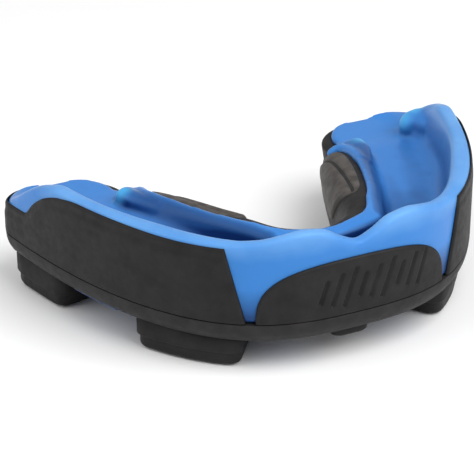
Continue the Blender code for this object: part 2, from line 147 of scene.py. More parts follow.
# The rubber shell below and behind the trough.
CREASE_TOP = -0.05
SOLE_BOTTOM = -3.1
SOLE_DRAFT = 1.1
SOLE_CORNER_STEPS = 5
SOLE_TUCK = 1.0
SOLE_FACE_FOOT = (0.15, -1.5)
SOLE_EDGE_RADIUS = 0.8
CREASE_RADIUS = 0.14
POCKET_STEP = 0.65
POCKET_WALL = 0.2
FLANK_TOP = [(0.0, 7.5), (0.16, 7.7), (0.33, 7.5), (0.54, 6.75), (0.67, 6.2), (0.74, 5.85), (0.8, 5.35),
             (0.84, 4.7), (0.87, 3.9), (0.9, 3.3), (0.95, 2.9), (1.1, 2.7)]
BULGE_HEIGHT = [(0.0, 0.8), (0.8, 0.8), (0.87, 1.4), (0.94, 2.1), (1.1, 2.2)]
FLANK_GAP = 0.15
FLANK_LEAST = 0.9
FLANK_STEPS = 14
FLANK_ROUNDNESS = 2.6
FLANK_TOP_RADIUS = 0.3
BULGE_RADIUS = 0.9

# The inserts on the tongue side. Down runs from 0 at the top of the flank to 1 at its bulge, and the
# groove is given as (place, down). It and the belly below it fade out towards the insert's edge.
PALATE_SPAN = (0.36, 0.838)
PALATE_DOWN = (0.02, 0.99)
PALATE_ROUNDNESS = 4
PALATE_HALF_WIDTH = 2.6
PALATE_SUNK = 0.5
PALATE_PROUD = 0.15
PALATE_EDGE = 0.5
PALATE_EDGE_DROP = 0.4
PALATE_BELLY = 0.3
PALATE_BELLY_LEAN = 0.6
PALATE_BELLY_FLATNESS = 0.7
PALATE_BELLY_FADE = (0.0, 1.4)
PALATE_GROOVE_DOWN = [(0.4, 0.2), (0.55, 0.24), (0.62, 0.28), (0.73, 0.38), (0.79, 0.52), (0.83, 0.72)]
PALATE_GROOVE_DEPTH = 0.4
PALATE_GROOVE_WIDTH = 0.24
PALATE_GROOVE_FADE = (0.2, 1.2)

# The rubber plates: how far in from the arch's outermost line their backs lie, and their soft edges.
PLATE_BACK = 0.42
PLATE_EDGE = 0.55
PLATE_EDGE_DROP = 0.3
PLATE_FOOT = 0.05
PLATE_FOOT_EDGE = 0.2
PLATE_FOOT_DROP = 0.1
CHEEK_FRONT_LOW = 0.268
CHEEK_FRONT_HIGH = 0.318
CHEEK_END = 1.12
CHEEK_RISE = 10.5
CHEEK_TOP = [(0.2, 10.6), (0.4, 10.6), (0.6, 10.8), (0.714, 10.8), (0.788, 10.2), (0.841, 9.1),
             (0.889, 7.2), (0.932, 4.9), (1.0, 4.7), (1.07, 4.0), (1.2, 3.4)]
CHEEK_BORDER = (0.9, 1.9)
CHEEK_BORDER_DROP = 0.16
FRONT_HALF_LENGTH = 14.2
FRONT_TOP = 8.05
FRONT_ROUNDNESS = 2.75
FRONT_TIP = 0.5

# The row of slanted grooves on the front plate.
GROOVE_COUNT = 9
GROOVE_FIRST = -5.2
GROOVE_PITCH = 1.85
GROOVE_HEIGHT = 3.9
GROOVE_CLIMB = 0.03
GROOVE_SLANT = 0.32
GROOVE_HALF_LENGTHS = (1.5, 2.1, 2.6)
GROOVE_HALF_WIDTH = (0.1, 0.38)
GROOVE_DEPTH = 0.32

# The biting pads and inlays: (first place, last place, first depth, last depth). The ledge round a pad's
# top is given as (height, spread), with its heights counted from the surface that the guard stands on.
MOLAR_PAD = (0.83, 1.045, 1.9, 13.5)
CANINE_PAD = (0.285, 0.565, 1.6, 12.0)
FRONT_PAD = (-0.055, 0.055, 1.9, 8.0)
FRONT_PAD_BOTTOM = -4.5
MOLAR_INLAY = (0.6, 0.795, 1.6, 12.5)
FRONT_INLAY = (0.12, 0.25, 2.2, 7.6)
INLAY_BOTTOM = -3.6
PAD_CORNER = 1.8
PAD_TOP = SOLE_BOTTOM + 0.6
PAD_WAIST = 0.9
PAD_LEDGE = [(2.3, 0.3), (2.1, 0.25), (2.0, 0.1), (1.9, 0.0)]
PAD_SOFTNESS = 0.8
FRONT_PAD_SOFTNESS = 0.5
INLAY_TOP = SOLE_BOTTOM + 0.4
INLAY_SOFTNESS = 0.35

# The floor lies just below the pads, so that they don't share a plane. The lamps aim at a point in metres.
FLOOR_DROP = 0.1
FLOOR_HALF_WIDTH = 1500.0
LIGHT_AIM = Vector((0, 0, 0.01))

# Darker low down on the gel: painted shade.
GEL_LOW_PAINTED_SHADE = (0.014, 0.05, 0.17, 1.0)
GEL_MIDDLE = (0.047, 0.21, 0.57, 1.0)
GEL_RIM = (0.14, 0.35, 0.7, 1.0)
# Painted shade for the gel's recesses and the lip.
GEL_PAINTED_SHADE = (0.005, 0.026, 0.12, 1.0)
# Painted light at the gel's thin tips.
GEL_PAINTED_LIGHT = (0.08, 0.46, 0.8, 1.0)
BLACK = ((0.0095, 0.0088, 0.0092, 1.0), (0.017, 0.0158, 0.0162, 1.0))
# The same black rubber made lighter on the sole: painted light from the pale floor.
SOLE_BLACK_PAINTED_LIGHT = ((0.0135, 0.0126, 0.013, 1.0), (0.024, 0.0225, 0.023, 1.0))
GREY = ((0.05, 0.045, 0.042, 1.0), (0.1, 0.09, 0.084, 1.0))


def profile(pairs, place, start_slope=0.0):
    """A smooth curve through (place, value) pairs that never overshoots them."""
    count = len(pairs)
    if place <= pairs[0][0]:
        return pairs[0][1]
    if place >= pairs[-1][0]:
        return pairs[-1][1]
    slopes = [(pairs[i + 1][1] - pairs[i][1]) / (pairs[i + 1][0] - pairs[i][0]) for i in range(count - 1)]
    tangents = [start_slope]
    for i in range(1, count - 1):
        product = slopes[i - 1] * slopes[i]
        tangents.append(2 * product / (slopes[i - 1] + slopes[i]) if product > 0 else 0.0)
    tangents.append(slopes[-1])
    i = max(k for k in range(count - 1) if pairs[k][0] <= place)
    width = pairs[i + 1][0] - pairs[i][0]
    t = (place - pairs[i][0]) / width
    return ((1 + 2 * t) * (1 - t) ** 2 * pairs[i][1] + t * (1 - t) ** 2 * width * tangents[i]
            + t * t * (3 - 2 * t) * pairs[i + 1][1] + t * t * (t - 1) * width * tangents[i + 1])


def ease(low, high, value):
    """0 below low, 1 above high and smooth between."""
    t = min(max((value - low) / (high - low), 0.0), 1.0)
    return t * t * (3 - 2 * t)


def arch_table(steps=600):
    """(length along the arch, X, Y) at small equal turns, for looking places up by length."""
    rows = [(0.0, 0.0, 0.0)]
    for i in range(1, steps + 1):
        angle = ARCH_TURN * i / steps
        x = ARCH_HALF_WIDTH * math.sin(angle) ** ARCH_SQUARENESS
        y = ARCH_DEPTH * (1 - math.cos(angle))
        rows.append((rows[-1][0] + math.hypot(x - rows[-1][1], y - rows[-1][2]), x, y))
    return rows


ARCH = arch_table()
ARM_LENGTH = ARCH[-1][0]


def outer_point(place):
    """The outermost line of the arch on the +X side. Past place 1 it runs straight back."""
    if place >= 1:
        return ARCH[-1][1], ARCH[-1][2] + (place - 1) * ARM_LENGTH
    length = place * ARM_LENGTH
    low = 0
    high = len(ARCH) - 1
    while high - low > 1:
        middle = (low + high) // 2
        if ARCH[middle][0] <= length:
            low = middle
        else:
            high = middle
    share = (length - ARCH[low][0]) / (ARCH[high][0] - ARCH[low][0])
    return tuple(ARCH[low][k] + share * (ARCH[high][k] - ARCH[low][k]) for k in (1, 2))


def crossing(place):
    """(outer point, unit direction inwards, width) of the slice across the arm at a place."""
    at = min(abs(place), 1.0)
    ox, oy = outer_point(at)
    ix = profile(TONGUE_X, at, TONGUE_START_SLOPE)
    iy = profile(TONGUE_Y, at)
    width = math.hypot(ix - ox, iy - oy)
    direction = ((ix - ox) / width, (iy - oy) / width)
    if abs(place) > 1:
        ox, oy = outer_point(abs(place))
    side = -1.0 if place < 0 else 1.0
    return (side * ox, oy), (side * direction[0], direction[1]), width


def plan_point(place, depth):
    """(X, Y) of a place along the arm and a depth across it."""
    (ox, oy), (dx, dy), _ = crossing(place)
    return ox + depth * dx, oy + depth * dy


def wrap_point(place, depth):
    """As plan_point, but past place 1 the line turns round the molar corner."""
    if abs(place) <= 1:
        return plan_point(place, depth)
    side = -1.0 if place < 0 else 1.0
    turn = (abs(place) - 1) * ARM_LENGTH / MOLAR_CORNER
    (ox, oy), (dx, dy), _ = crossing(1.0)
    radius = MOLAR_CORNER - depth
    x = ox + MOLAR_CORNER * dx - radius * math.cos(turn) * dx - radius * math.sin(turn) * dy
    y = oy + MOLAR_CORNER * dy - radius * math.cos(turn) * dy - radius * math.sin(turn) * dx
    return side * x, y


def stand_matrix():
    """From the guard's own lie in millimetres to the frame in metres, placed by the front plate."""
    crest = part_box("front_plate")[0][1] + CREST_HEIGHT * math.sin(TILT) * MM
    move = Matrix.Translation((0.0, crest, -TABLE_HEIGHT * MM * math.cos(TILT)))
    return move @ Matrix.Rotation(TILT, 4, "X") @ Matrix.Scale(MM, 4)


STAND = stand_matrix()


def towards(start, end, reach):
    """The point at a distance from start on the straight line to end."""
    length = math.dist(start, end)
    return tuple(a + (b - a) / length * reach for a, b in zip(start, end))


def corner_arc(start, corner, end, steps):
    """Points along the curve that cuts a corner off between start and end."""
    arc = []
    for k in range(steps + 1):
        t = k / steps
        arc.append(tuple((1 - t) ** 2 * start[i] + 2 * t * (1 - t) * corner[i] + t * t * end[i]
                         for i in (0, 1)))
    return arc


def rounded(points, steps, longest=0.48):
    """The outline of (depth, height, radius) corners, cut off by curves where the radius isn't 0.

    A curve takes no more than the longest share of the sides that it joins.
    """
    outline = []
    for i, (x, y, radius) in enumerate(points):
        corner = (x, y)
        if radius == 0:
            outline.append(corner)
            continue
        before = points[i - 1][:2]
        after = points[(i + 1) % len(points)][:2]
        reach = min(radius, longest * math.dist(corner, before), longest * math.dist(corner, after))
        outline += corner_arc(towards(corner, before, reach), corner, towards(corner, after, reach), steps)
    return outline


def divided(outline, counts):
    """The same closed outline with each of its runs cut into as many parts as counts says."""
    points = []
    for i, (x, y) in enumerate(outline):
        nx, ny = outline[(i + 1) % len(outline)]
        for k in range(counts[i]):
            points.append((x + (nx - x) * k / counts[i], y + (ny - y) * k / counts[i]))
    return points


def cuts_for(outline, pitch):
    """How many parts each run of an outline is cut into, so that a part is about as long as pitch."""
    counts = []
    for i, (x, y) in enumerate(outline):
        nx, ny = outline[(i + 1) % len(outline)]
        counts.append(max(1, round(math.hypot(nx - x, ny - y) / pitch)))
    return counts


def new_piece(name, verts, faces, material):
    """A mesh object from vertices in the guard's own lie."""
    mesh = bpy.data.meshes.new(name)
    mesh.from_pydata([STAND @ Vector(point) for point in verts], [], faces)
    mesh.materials.append(material)
    obj = bpy.data.objects.new(name, mesh)
    bpy.context.scene.collection.objects.link(obj)
    face_outwards(obj)
    mesh.shade_smooth()
    return obj


def face_outwards(obj):
    """Weld points that meet and turn every face outwards."""
    bm = bmesh.new()
    bm.from_mesh(obj.data)
    bmesh.ops.remove_doubles(bm, verts=bm.verts, dist=1e-7)
    bmesh.ops.recalc_face_normals(bm, faces=bm.faces)
    bm.to_mesh(obj.data)
    bm.free()


def loft(slices):
    """Vertices and faces of closed outlines joined one to the next, with both ends closed."""
    size = len(slices[0])
    verts = [point for outline in slices for point in outline]
    faces = []
    for row in range(len(slices) - 1):
        for i in range(size):
            j = (i + 1) % size
            faces.append((row * size + i, (row + 1) * size + i, (row + 1) * size + j, row * size + j))
    faces.append(tuple(range(size)))
    last = (len(slices) - 1) * size
    faces.append(tuple(reversed(range(last, last + size))))
    return verts, faces


def arm_places(skin, steps=110, turns=14):
    """Places from one molar end round to the other, closer together where the molar corners turn."""
    reach = (MOLAR_CORNER - skin) / ARM_LENGTH
    half = [i / steps for i in range(1, steps + 1)]
    half += [1 + reach * math.sin(math.pi / 2 * i / turns) for i in range(1, turns + 1)]
    return [-place for place in reversed(half)] + [0.0] + half


def slice_points(place, outline, skin=0.0):
    """Put a (depth, height) outline on the slice at a place, drawn in where the molar corner is round."""
    _, _, width = crossing(place)
    radius = MOLAR_CORNER - skin
    past = (abs(place) - 1) * ARM_LENGTH
    inset = skin if past <= 0 else MOLAR_CORNER - math.sqrt(max(radius ** 2 - past ** 2, 0.0))
    points = []
    for depth, height in outline:
        across = inset + (depth - skin) * (width - 2 * inset) / (width - 2 * skin)
        x, y = plan_point(place, across)
        points.append((x, y, height))
    return points


def arch_loft(outline_at, skin, pitch=0.8):
    """A closed loft round the whole arch. The middle of the arm sets how the outlines are cut up."""
    counts = cuts_for(outline_at(0.5), pitch)
    slices = []
    for place in arm_places(skin):
        slices.append(slice_points(place, divided(outline_at(abs(place)), counts), skin))
    return loft(slices)


def tube(path, radii, sides, dome_steps=5):
    """A closed round bar along a path of (x, y, z) points, with domed ends."""
    points = [Vector(p) for p in path]
    last = len(points) - 1
    rings = []
    for i, point in enumerate(points):
        along = (points[min(i + 1, last)] - points[max(i - 1, 0)]).normalized()
        across = along.cross(Vector((0, 0, 1))).normalized()
        over = across.cross(along)
        if i not in (0, last):
            rings.append((point, across, over, radii[i]))
            continue
        outwards = -along if i == 0 else along
        dome = []
        for k in range(1, dome_steps + 1):
            turn = math.pi / 2 * k / dome_steps
            centre = point + outwards * radii[i] * math.cos(turn)
            dome.append((centre, across, over, radii[i] * math.sin(turn)))
        rings += dome if i == 0 else reversed(dome)
    outlines = []
    for centre, across, over, radius in rings:
        outline = []
        for k in range(sides):
            turn = 2 * math.pi * k / sides
            rim = centre + across * radius * math.cos(turn) + over * radius * math.sin(turn)
            outline.append(tuple(rim))
        outlines.append(outline)
    return loft(outlines)


def gel_outline(place):
    """The gel's section: up the outer wall, over the rim, along the biting floor and over the lip."""
    rim = profile(RIM_HEIGHT, place)
    thick = profile(RIM_THICKNESS, place)
    soft = profile(RIM_SOFTNESS, place)
    bead = profile(LIP_THICKNESS, place)
    foot = profile(WALL_FOOT, place)
    floor = profile(FLOOR_HEIGHT, place)
    lip = profile(LIP_DEPTH, place)
    top = profile(LIP_HEIGHT, place)
    lip_foot = profile(LIP_FOOT, place)
    above = max(top - floor, 0.0)
    return rounded([
        (GEL_INSET, GEL_BOTTOM, 0),
        (GEL_INSET, rim - RIM_LEAN, soft),
        (GEL_INSET + thick, rim, soft),
        (GEL_INSET + thick + foot, floor, WALL_FOOT_RADIUS),
        (lip - lip_foot, floor, LIP_FOOT_RADIUS),
        (lip, top - min(LIP_SLOPE, LIP_SLOPE_SHARE * above), LIP_TROUGH_RADIUS),
        (lip + bead, top, LIP_EDGE_RADIUS),
        (lip + bead, top - LIP_BEAD, 0),
        (lip + LIP_STEP, top - LIP_BEAD - LIP_STEP_SLOPE, 0),
        (lip + LIP_STEP, GEL_BOTTOM, 0),
    ], GEL_CORNER_STEPS)


def merged(parts):
    """One list of vertices and one of faces from several."""
    verts = []
    faces = []
    for part_verts, part_faces in parts:
        start = len(verts)
        verts += part_verts
        faces += [tuple(start + i for i in face) for face in part_faces]
    return verts, faces


def bake_modifiers(obj):
    """Apply an object's modifiers to its mesh."""
    graph = bpy.context.evaluated_depsgraph_get()
    mesh = bpy.data.meshes.new_from_object(obj.evaluated_get(graph))
    obj.modifiers.clear()
    old = obj.data
    obj.data = mesh
    mesh.name = old.name
    bpy.data.meshes.remove(old)
    mesh.shade_smooth()


def remesh(obj, voxel, smoothing):
    """Skin over everything in a mesh as one closed surface, and soften it."""
    skin = obj.modifiers.new("skin", "REMESH")
    skin.mode = "VOXEL"
    skin.voxel_size = voxel * MM
    skin.use_smooth_shade = True
    soft = obj.modifiers.new("soft", "SMOOTH")
    soft.factor = 0.5
    soft.iterations = smoothing
    bake_modifiers(obj)


def make_gel(material):
    """The trough and the bars at its molar ends, skinned over as one."""
    parts = [arch_loft(gel_outline, GEL_INSET)]
    for side in (-1, 1):
        parts.append(arm_bar(side, LIP_THUMB))
        parts.append(arm_bar(side, LIP_TURN))
        parts.append(wall_thumb(side, WALL_THUMB))
        parts.append(wall_thumb(side, WALL_THUMB_FOOT))
    obj = new_piece("gel_trough", *merged(parts), material)
    remesh(obj, GEL_VOXEL, GEL_SMOOTHING)
    mark_painted_light(obj)
    mark_painted_shade(obj, RECESS_RAYS)
    return obj


def arm_bar(side, stations):
    """A round bar along the arm through (place, depth, height, radius) stations."""
    path = []
    for place, depth, height, _ in stations:
        x, y = plan_point(place, depth)
        path.append((side * x, y, height))
    return tube(path, [station[3] for station in stations], sides=24)


def wall_thumb(side, stations):
    """A round bar at the wall's molar end, through (x, y, height, radius) stations."""
    path = [(side * x, y, height) for x, y, height, _ in stations]
    return tube(path, [station[3] for station in stations], sides=28)


def flank_at(place, down):
    """(depth, height) on the shell's tongue side, from beside the lip (down 0) to its bulge (down 1)."""
    _, _, width = crossing(place)
    start = profile(LIP_DEPTH, place) + profile(LIP_THICKNESS, place) + FLANK_GAP
    start = min(start, width - FLANK_LEAST)
    top = profile(FLANK_TOP, place)
    bulge = profile(BULGE_HEIGHT, place)
    across = math.sin(math.pi / 2 * down) ** (2 / FLANK_ROUNDNESS)
    above = math.cos(math.pi / 2 * down) ** (2 / FLANK_ROUNDNESS) if down < 1 else 0.0
    return start + (width - start) * across, bulge + (top - bulge) * above


def sole_outline(place):
    """The shell's section: flat under the gel, up beside the lip, down the flank and along the bottom."""
    lip = profile(LIP_DEPTH, place)
    head = flank_at(place, 0.0)
    foot = flank_at(place, 1.0)
    pocket = min(lip + POCKET_STEP, head[0] - POCKET_WALL)
    flank = [flank_at(place, k / FLANK_STEPS) + (0,) for k in range(1, FLANK_STEPS)]
    return rounded([
        (0.0, CREASE_TOP, CREASE_RADIUS),
        (pocket, CREASE_TOP, 0),
        (pocket, head[1], 0),
        (head[0], head[1], FLANK_TOP_RADIUS),
    ] + flank + [
        (foot[0], foot[1], BULGE_RADIUS),
        (foot[0] - SOLE_TUCK, SOLE_BOTTOM, BULGE_RADIUS),
        (SOLE_DRAFT, SOLE_BOTTOM, SOLE_EDGE_RADIUS),
        SOLE_FACE_FOOT + (SOLE_EDGE_RADIUS,),
    ], SOLE_CORNER_STEPS)


def make_sole(material):
    return new_piece("sole_shell", *arch_loft(sole_outline, 0.0), material)


def grid_shell(name, point_at, material, columns, rows):
    """A closed shell. point_at(u, v, layer) gives its points, with layer 0 outside and layer 1 inside."""
    verts = [point_at(i / (columns - 1), j / (rows - 1), layer)
             for layer in (0, 1) for i in range(columns) for j in range(rows)]
    other = columns * rows
    faces = []
    for i in range(columns - 1):
        for j in range(rows - 1):
            quad = (i * rows + j, (i + 1) * rows + j, (i + 1) * rows + j + 1, i * rows + j + 1)
            faces.append(quad)
            faces.append(tuple(other + k for k in reversed(quad)))
    border = [i * rows for i in range(columns)]
    border += [(columns - 1) * rows + j for j in range(1, rows)]
    border += [i * rows + rows - 1 for i in range(columns - 2, -1, -1)]
    border += [j for j in range(rows - 2, 0, -1)]
    for k, here in enumerate(border):
        there = border[(k + 1) % len(border)]
        faces.append((there, here, other + here, other + there))
    return new_piece(name, verts, faces, material)


def shoulder_drop(distance, reach, drop):
    """How far a surface falls away near an edge, as a quarter of an ellipse."""
    t = min(max(distance / reach, 0.0), 1.0)
    return drop * (1 - math.sqrt(1 - (1 - t) ** 2))


def crowd_ends(u, strength):
    """Crowds a 0 to 1 grid towards both its ends, so that soft edges get enough rows."""
    return u - strength * math.sin(2 * math.pi * u) / (2 * math.pi)


def soft_edge(nearest, height):
    """How deep a plate's outer face lies near its edge, and near its foot on the sole."""
    edge = shoulder_drop(nearest, PLATE_EDGE, PLATE_EDGE_DROP)
    return edge + shoulder_drop(height - PLATE_FOOT, PLATE_FOOT_EDGE, PLATE_FOOT_DROP)


def cheek_plate(name, side, material):
    """The plate over a cheek side. Its front edge leans from its foot back to its top."""
    def point(u, v, layer):
        u = crowd_ends(u, strength=0.6)
        v = crowd_ends(v, strength=0.6)
        share = (PLATE_FOOT + CHEEK_RISE * v) / CHEEK_TOP[0][1]
        begin = CHEEK_FRONT_LOW + (CHEEK_FRONT_HIGH - CHEEK_FRONT_LOW) * share
        place = begin + (CHEEK_END - begin) * u
        top = profile(CHEEK_TOP, place)
        height = PLATE_FOOT + (top - PLATE_FOOT) * v
        nearest = min((place - begin) * ARM_LENGTH, (CHEEK_END - place) * ARM_LENGTH, top - height)
        depth = PLATE_BACK
        if layer == 0:
            border = 1 - ease(*CHEEK_BORDER, top - height)
            depth = soft_edge(nearest, height) + CHEEK_BORDER_DROP * border
        x, y = wrap_point(place, depth)
        return side * x, y, height

    return grid_shell(name, point, material, columns=150, rows=40)


def front_top(place):
    """The height of the front plate's upper edge."""
    share = min(abs(place) * ARM_LENGTH / FRONT_HALF_LENGTH, 1.0)
    dome = (1 - share ** FRONT_ROUNDNESS) ** (1 / FRONT_ROUNDNESS)
    return PLATE_FOOT + max((FRONT_TOP - PLATE_FOOT) * dome, FRONT_TIP)


def slant_grooves(along, height):
    """Depth of the slanted grooves pressed in the front plate, at a length along the arch and a height."""
    deepest = 0.0
    for k in range(GROOVE_COUNT):
        middle = GROOVE_FIRST + GROOVE_PITCH * k
        reach = GROOVE_HALF_LENGTHS[k % len(GROOVE_HALF_LENGTHS)]
        rise = height - GROOVE_HEIGHT - GROOVE_CLIMB * middle
        across = abs(along - middle - GROOVE_SLANT * rise)
        end = max(abs(rise) - reach, 0.0)
        deepest = max(deepest, 1 - ease(*GROOVE_HALF_WIDTH, math.hypot(across, end)))
    return GROOVE_DEPTH * deepest


def front_plate(material):
    half = FRONT_HALF_LENGTH / ARM_LENGTH
    step = 0.002

    def point(u, v, layer):
        place = half * math.sin((crowd_ends(u, strength=0.2) - 0.5) * math.pi)
        top = front_top(place)
        height = PLATE_FOOT + (top - PLATE_FOOT) * crowd_ends(v, strength=0.35)
        depth = PLATE_BACK
        if layer == 0:
            slope = (front_top(abs(place) + step) - front_top(abs(place))) / (step * ARM_LENGTH)
            nearest = min((top - height) / math.hypot(1, slope), (half - abs(place)) * ARM_LENGTH)
            depth = soft_edge(nearest, height) + slant_grooves(place * ARM_LENGTH, height)
        x, y = wrap_point(place, depth)
        return x, y, height

    return grid_shell("front_plate_grooved", point, material, columns=261, rows=71)


def flank_point(place, down, out):
    """A point on the tongue side of the shell, lifted off its face by out."""
    step = 0.02
    down = min(max(down, 0.0), 1.0)
    before = flank_at(place, max(down - step, 0.0))
    after = flank_at(place, min(down + step, 1.0))
    length = math.dist(before, after)
    nx, nz = (before[1] - after[1]) / length, (after[0] - before[0]) / length
    depth, height = flank_at(place, down)
    x, y = plan_point(place, depth + out * nx)
    return x, y, height + out * nz


def rounded_square(u, v, half_length, half_width):
    """A point of a -1 to 1 grid drawn in to round corners, and its distance from the edge."""
    ring = max(abs(u), abs(v))
    if ring == 0:
        return u, v, half_width
    size = (abs(u) ** PALATE_ROUNDNESS + abs(v) ** PALATE_ROUNDNESS) ** (1 / PALATE_ROUNDNESS)
    end_share = abs(u / ring) ** 8
    side_share = abs(v / ring) ** 8
    scale = (end_share * half_length + side_share * half_width) / (end_share + side_share)
    return u * ring / size, v * ring / size, (1 - ring) * scale


def palate_insert(name, side, material):
    """The grooved insert on the tongue side: a groove, and below it a soft belly."""
    first, last = PALATE_SPAN
    half = (last - first) / 2
    high, low = PALATE_DOWN

    def point(u, v, layer):
        u, v, edge = rounded_square(2 * u - 1, 2 * v - 1, half * ARM_LENGTH, PALATE_HALF_WIDTH)
        place = first + half * (1 + u)
        down = (high + low) / 2 + (low - high) / 2 * v
        if layer:
            return mirrored(flank_point(place, down, -PALATE_SUNK), side)
        groove = profile(PALATE_GROOVE_DOWN, place)
        out = PALATE_PROUD - shoulder_drop(edge, PALATE_EDGE, PALATE_EDGE_DROP)
        belly = min(max(down - groove, 0.0) / (1 - groove), 1.0)
        swell = math.sin(math.pi * belly ** PALATE_BELLY_LEAN) ** PALATE_BELLY_FLATNESS
        out += PALATE_BELLY * swell * ease(*PALATE_BELLY_FADE, edge)
        across = (down - groove) * 2 * PALATE_HALF_WIDTH
        dip = math.exp(-(across / PALATE_GROOVE_WIDTH) ** 2)
        out -= PALATE_GROOVE_DEPTH * dip * ease(*PALATE_GROOVE_FADE, edge)
        return mirrored(flank_point(place, down, out), side)

    return grid_shell(name, point, material, columns=130, rows=56)


def mirrored(point, side):
    return side * point[0], point[1], point[2]


def footprint(span, spread, corner_steps=7, long_steps=20, short_steps=6):
    """The outline of a pad in (along, depth): a rectangle along the arm with round corners."""
    first = span[0] * ARM_LENGTH - spread
    last = span[1] * ARM_LENGTH + spread
    near = span[2] - spread
    far = span[3] + spread
    corners = [(first, near), (last, near), (last, far), (first, far)]
    outline = []
    for k, corner in enumerate(corners):
        following = corners[(k + 1) % 4]
        ex, ey = towards(corner, following, PAD_CORNER)
        outline += corner_arc(towards(corner, corners[k - 1], PAD_CORNER), corner, (ex, ey), corner_steps)
        nx, ny = towards(following, corner, PAD_CORNER)
        steps = long_steps if k in (0, 2) else short_steps
        for step in range(1, steps):
            outline.append((ex + (nx - ex) * step / steps, ey + (ny - ey) * step / steps))
    return outline


def table_height(y):
    """The height, in the guard's own lie, of the surface that it stands on."""
    return TABLE_HEIGHT - TABLE_SLOPE * y


def pad(name, span, levels, side, material, on_table=False):
    """A block under the sole. levels is a list of (height, spread) from its top down.

    With on_table the heights below the first are counted from the surface that the guard stands on.
    """
    rings = []
    for level, (height, spread) in enumerate(levels):
        ring = []
        for along, depth in footprint(span, spread):
            x, y = plan_point(along / ARM_LENGTH, depth)
            lift = table_height(y) if on_table and level > 0 else 0.0
            ring.append((side * x, y, height + lift))
        rings.append(ring)
    return new_piece(name, *loft(rings), material)


def round_over(height, radius, steps=6):
    """Levels that turn a pad's lower edge in, from an upright side to a flat bottom at height."""
    levels = []
    for k in range(1, steps + 1):
        turn = math.pi / 2 * k / steps
        levels.append((height + radius * (1 - math.sin(turn)), -radius * (1 - math.cos(turn))))
    return levels


def block_levels(top, bottom, softness):
    """Levels of a plain upright block with its lower edge turned in."""
    return [(top, 0.0), (bottom + softness, 0.0)] + round_over(bottom, softness)


def make_pads(material):
    levels = [(PAD_TOP, PAD_LEDGE[0][1])] + PAD_LEDGE + [(PAD_WAIST, 0.0)] + round_over(0.0, PAD_SOFTNESS)
    for label, side in SIDES:
        for place_name, span in (("molar", MOLAR_PAD), ("canine", CANINE_PAD)):
            obj = pad(place_name + "_grip_" + label, span, levels, side, material, on_table=True)
            dress(obj, "rubber_black", place_name + "_pad_" + label)
    levels = block_levels(PAD_TOP, FRONT_PAD_BOTTOM, FRONT_PAD_SOFTNESS)
    dress(pad("front_grip", FRONT_PAD, levels, 1, material), "rubber_black", "front_pad")


def make_inlays(material):
    levels = block_levels(INLAY_TOP, INLAY_BOTTOM, INLAY_SOFTNESS)
    for label, side in SIDES:
        for place_name, span in (("molar", MOLAR_INLAY), ("front", FRONT_INLAY)):
            obj = pad("gel_window_" + place_name + "_" + label, span, levels, side, material)
            dress(obj, "gel_blue", "gel_inlay_" + place_name + "_" + label)


def fibonacci_directions(count):
    """Directions spread evenly over the sphere."""
    directions = []
    for k in range(count):
        height = 1 - (2 * k + 1) / count
        turn = math.pi * (3 - math.sqrt(5)) * k
        reach = math.sqrt(1 - height * height)
        directions.append(Vector((reach * math.cos(turn), reach * math.sin(turn), height)))
    return directions


def mark_painted_shade(obj, rays):
    """Store, as a colour attribute, the painted shade for each point: how enclosed it is, from 0 open to 1
    hidden, raised along the lip.
    """
    mesh = obj.data
    tree = BVHTree.FromPolygons([v.co for v in mesh.vertices], [p.vertices for p in mesh.polygons])
    directions = fibonacci_directions(rays)
    hidden = np.zeros(len(mesh.vertices))
    for i, vertex in enumerate(mesh.vertices):
        start = vertex.co + vertex.normal * RECESS_START * MM
        hits = 0.0
        total = 0.0
        for direction in directions:
            facing = direction.dot(vertex.normal)
            if facing < RECESS_FACING:
                continue
            total += facing
            if tree.ray_cast(start, direction, RECESS_REACH * MM)[0] is not None:
                hits += facing
        hidden[i] = hits / total
    edges = np.empty(len(mesh.edges) * 2, dtype=np.int32)
    mesh.edges.foreach_get("vertices", edges)
    ends = edges.reshape(-1, 2)
    counts = np.bincount(edges, minlength=len(hidden))
    for _ in range(RECESS_BLENDS):
        sums = np.bincount(ends[:, 0], hidden[ends[:, 1]], len(hidden))
        sums += np.bincount(ends[:, 1], hidden[ends[:, 0]], len(hidden))
        hidden = (1 - RECESS_BLEND) * hidden + RECESS_BLEND * sums / np.maximum(counts, 1)
    # Painted shade along the lip, partly the black rubber showing through the thin gel.
    hidden = np.maximum(hidden, LIP_SHADE * nearness(mesh, lip_line(), LIP_SHADE_REACH, power=4))
    store(mesh, "painted_shade", hidden)


def store(mesh, name, values):
    """Keep one number for each vertex as a colour attribute, for the materials to read."""
    layer = mesh.color_attributes.new(name, "FLOAT_COLOR", "POINT")
    layer.data.foreach_set("color", np.repeat(values, 4).astype(np.float32))


def lip_line():
    """Points down the middle of the lip's trough side, where the gel is thin over the black rubber and
    painted shade falls at the lip's foot.
    """
    first, last = LIP_SHADE_SPAN
    line = []
    for k in range(LIP_SHADE_SPOTS):
        place = first + (last - first) * k / (LIP_SHADE_SPOTS - 1)
        x, y = plan_point(place, profile(LIP_DEPTH, place) - LIP_SHADE_DEPTH)
        line.append((x, y, profile(LIP_HEIGHT, place) - LIP_SHADE_DROP))
    return line


def nearness(mesh, centres, reach, power):
    """1 at the given points on either arm, falling smoothly to 0 away from them, for each vertex."""
    points = np.empty(len(mesh.vertices) * 3, dtype=np.float32)
    mesh.vertices.foreach_get("co", points)
    points = points.reshape(-1, 3) / MM
    nearest = np.full(len(points), np.inf)
    for x, y, z in centres:
        for side in (-1, 1):
            centre = np.array(STAND @ Vector((side * x, y, z))) / MM
            nearest = np.minimum(nearest, np.linalg.norm(points - centre, axis=1))
    return np.exp(-(nearest / reach) ** power)


